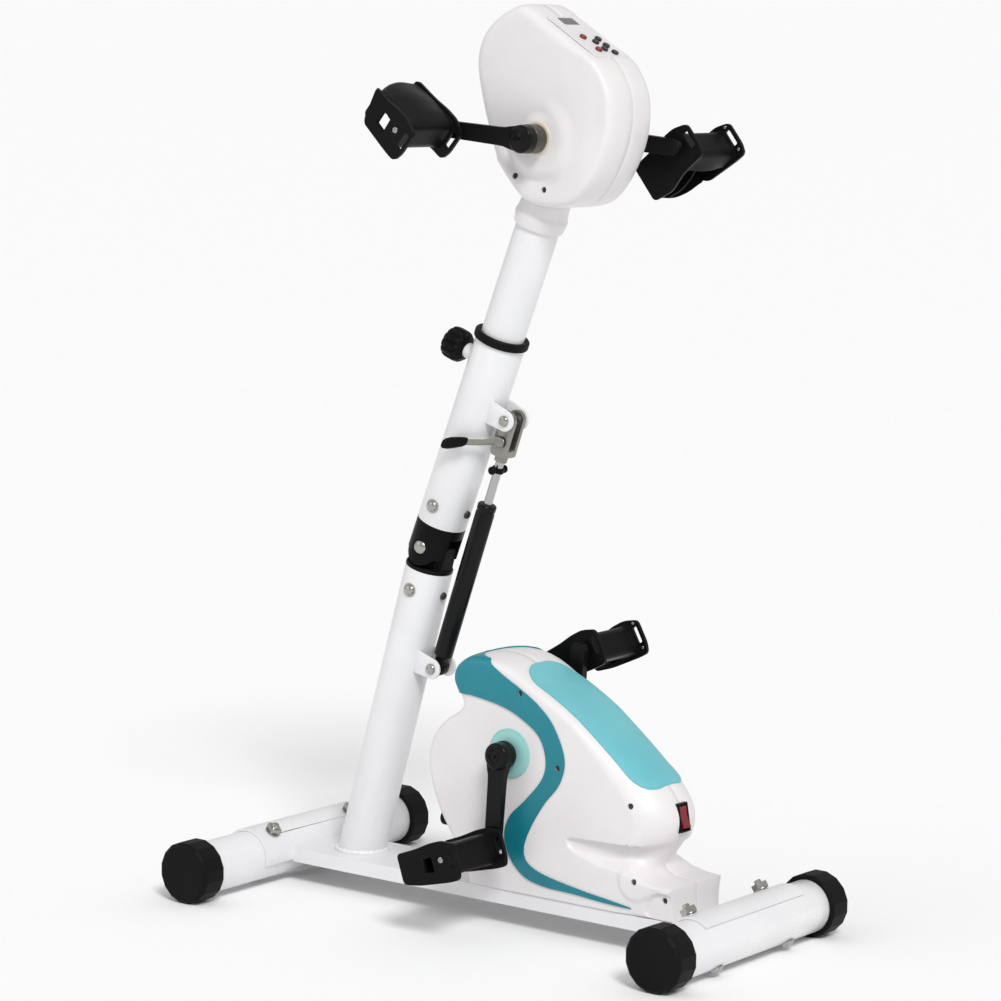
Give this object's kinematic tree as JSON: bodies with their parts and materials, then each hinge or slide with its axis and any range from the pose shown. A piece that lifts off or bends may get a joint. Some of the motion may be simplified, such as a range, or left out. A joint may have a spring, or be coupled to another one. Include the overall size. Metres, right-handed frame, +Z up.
{
  "type": "pedal exerciser",
  "caption": "Free-standing electric exerciser: pedals on a floor drive, hand grips on a second drive at the top of a folding, sliding mast on a low frame.",
  "frame": {"origin": "on the floor, midway between the two foot tubes, on the middle plane", "axes": "+Z up, +X towards the user along the floor rail, +Y towards the far side, across the machine"},
  "size_m": [0.6996, 0.413, 1.029],
  "materials": {
    "white_paint": "gloss powder coat",
    "white_plastic": "satin moulded",
    "teal_plastic": "satin moulded",
    "light_teal_plastic": "satin moulded",
    "black_plastic": "moulded",
    "black_rubber": "moulded",
    "black_paint": "satin paint",
    "black_steel": "satin paint",
    "dark_plastic": "moulded",
    "grey_plastic": "moulded",
    "red_plastic": "translucent moulded",
    "display": "clear window",
    "steel": "ground",
    "zinc": "zinc plated",
    "chrome": "polished"
  },
  "bodies": {
    "base": {"rear_foot_tube": "white_paint", "front_foot_tube": "white_paint", "rear_near_cap": "black_rubber", "rear_far_cap": "black_rubber", "front_near_cap": "black_rubber", "front_far_cap": "black_rubber", "base_frame": "white_paint", "rear_near_bolt": "zinc", "rear_far_bolt": "zinc", "front_near_bolt": "zinc", "front_far_bolt": "zinc", "lower_mast": "white_paint", "lower_hinge_block": "black_plastic", "strut_lower_pin": "zinc", "lower_near_shell": "white_plastic", "lower_far_shell": "white_plastic", "near_side_band": "teal_plastic", "far_side_band": "teal_plastic", "top_strip": "light_teal_plastic", "switch_frame": "black_plastic", "power_inlet": "black_plastic", "drive_bracket": "zinc", "leg_motor": "black_steel", "drive_belt": "black_rubber"},
    "rocker": {"rocker_switch": "red_plastic"},
    "leg_crank": {"lower_axle": "steel", "drive_pulley": "grey_plastic", "lower_near_crank": "black_steel", "lower_far_crank": "black_steel"},
    "pinion": {"motor_pulley": "steel"},
    "near_pedal": {"lower_near_pedal": "black_plastic"},
    "far_pedal": {"lower_far_pedal": "black_plastic"},
    "mast": {"upper_hinge_block": "black_plastic", "pivot_bolt": "zinc", "upper_sleeve": "white_paint", "sleeve_collar": "black_rubber", "strut_upper_pin": "zinc"},
    "knob": {"lock_knob": "black_plastic"},
    "head": {"head_tube": "white_paint", "neck_ring": "white_plastic", "head_near_shell": "white_plastic", "head_far_shell": "white_plastic", "control_panel": "white_plastic", "display_window": "display", "arm_gear_motor": "black_steel"},
    "start_key": {"start_button": "red_plastic"},
    "stop_key": {"stop_button": "red_plastic"},
    "mode_key": {"mode_button": "dark_plastic"},
    "time_key": {"time_button": "dark_plastic"},
    "speed_up_key": {"speed_up_button": "dark_plastic"},
    "speed_down_key": {"speed_down_button": "dark_plastic"},
    "direction_key": {"direction_button": "dark_plastic"},
    "arm_crank": {"upper_axle": "steel", "upper_near_crank": "black_steel", "upper_far_crank": "black_steel"},
    "near_grip": {"upper_near_grip": "black_plastic"},
    "far_grip": {"upper_far_grip": "black_plastic"},
    "strut_tube": {"strut_cylinder": "black_paint"},
    "strut_slider": {"strut_rod": "chrome"},
    "lever": {"release_lever": "black_plastic"}
  },
  "joints": [
    {"name": "mast_tilt", "type": "hinge", "parent": "base", "child": "mast", "pos_m": [-0.1133, 0, 0.415], "axis": [0, 1, 0], "range_deg": [-8, 16]},
    {"name": "strut_pivot", "type": "hinge", "parent": "base", "child": "strut_tube", "pos_m": [-0.1043, 0, 0.2735], "axis": [0, 1, 0], "range_deg": [-5, 10]},
    {"name": "strut_slide", "type": "slide", "parent": "strut_tube", "child": "strut_slider", "axis": [0.3238, 0, 0.9461], "range_m": [-0.018, 0.009]},
    {"name": "lever_swing", "type": "hinge", "parent": "strut_slider", "child": "lever", "pos_m": [-0.01235, 0, 0.5422], "axis": [0, 1, 0], "range_deg": [0, 12], "stiffness_Nm_per_rad": 0.1},
    {"name": "height_slide", "type": "slide", "parent": "mast", "child": "head", "axis": [0.3567, 0, 0.9342], "range_m": [-0.085, 0.05]},
    {"name": "knob_turn", "type": "hinge", "parent": "mast", "child": "knob", "pos_m": [-0.06951, 0, 0.6418], "axis": [-0.9342, 0, 0.3567], "range_deg": [0, 360]},
    {"name": "start_press", "type": "slide", "parent": "head", "child": "start_key", "axis": [-0.5284, 0, -0.849], "range_m": [0, 0.001], "stiffness_N_per_m": 200},
    {"name": "stop_press", "type": "slide", "parent": "head", "child": "stop_key", "axis": [-0.5284, 0, -0.849], "range_m": [0, 0.001], "stiffness_N_per_m": 200},
    {"name": "mode_press", "type": "slide", "parent": "head", "child": "mode_key", "axis": [-0.5284, 0, -0.849], "range_m": [0, 0.001], "stiffness_N_per_m": 200},
    {"name": "time_press", "type": "slide", "parent": "head", "child": "time_key", "axis": [-0.5284, 0, -0.849], "range_m": [0, 0.001], "stiffness_N_per_m": 200},
    {"name": "speed_up_press", "type": "slide", "parent": "head", "child": "speed_up_key", "axis": [-0.5284, 0, -0.849], "range_m": [0, 0.001], "stiffness_N_per_m": 200},
    {"name": "speed_down_press", "type": "slide", "parent": "head", "child": "speed_down_key", "axis": [-0.5284, 0, -0.849], "range_m": [0, 0.001], "stiffness_N_per_m": 200},
    {"name": "direction_press", "type": "slide", "parent": "head", "child": "direction_key", "axis": [-0.5284, 0, -0.849], "range_m": [0, 0.001], "stiffness_N_per_m": 200},
    {"name": "rocker_flip", "type": "hinge", "parent": "base", "child": "rocker", "pos_m": [0.2365, 0, 0.1484], "axis": [0, 1, 0], "range_deg": [0, 16]},
    {"name": "leg_crank_spin", "type": "hinge", "parent": "base", "child": "leg_crank", "pos_m": [0.0364, 0, 0.2003], "axis": [0, 1, 0], "continuous": true},
    {"name": "pinion_spin", "type": "hinge", "parent": "base", "child": "pinion", "pos_m": [0.15, 0, 0.105], "axis": [0, 1, 0], "continuous": true},
    {"name": "near_pedal_spin", "type": "hinge", "parent": "leg_crank", "child": "near_pedal", "pos_m": [0.02964, 0, 0.09852], "axis": [0, 1, 0], "continuous": true},
    {"name": "far_pedal_spin", "type": "hinge", "parent": "leg_crank", "child": "far_pedal", "pos_m": [0.04316, 0, 0.30208], "axis": [0, 1, 0], "continuous": true},
    {"name": "arm_crank_spin", "type": "hinge", "parent": "head", "child": "arm_crank", "pos_m": [0.0579, 0, 0.8837], "axis": [0, 1, 0], "continuous": true},
    {"name": "near_grip_spin", "type": "hinge", "parent": "arm_crank", "child": "near_grip", "pos_m": [-0.04377, 0, 0.89188], "axis": [0, 1, 0], "continuous": true},
    {"name": "far_grip_spin", "type": "hinge", "parent": "arm_crank", "child": "far_grip", "pos_m": [0.15957, 0, 0.87552], "axis": [0, 1, 0], "continuous": true}
  ],
  "couplings": [
    {"joint": "strut_pivot", "follows": "mast_tilt", "ratio": 0.5808},
    {"joint": "strut_slide", "follows": "mast_tilt", "m_per_rad": -0.06085},
    {"joint": "pinion_spin", "follows": "leg_crank_spin", "ratio": 4.2857}
  ]
}
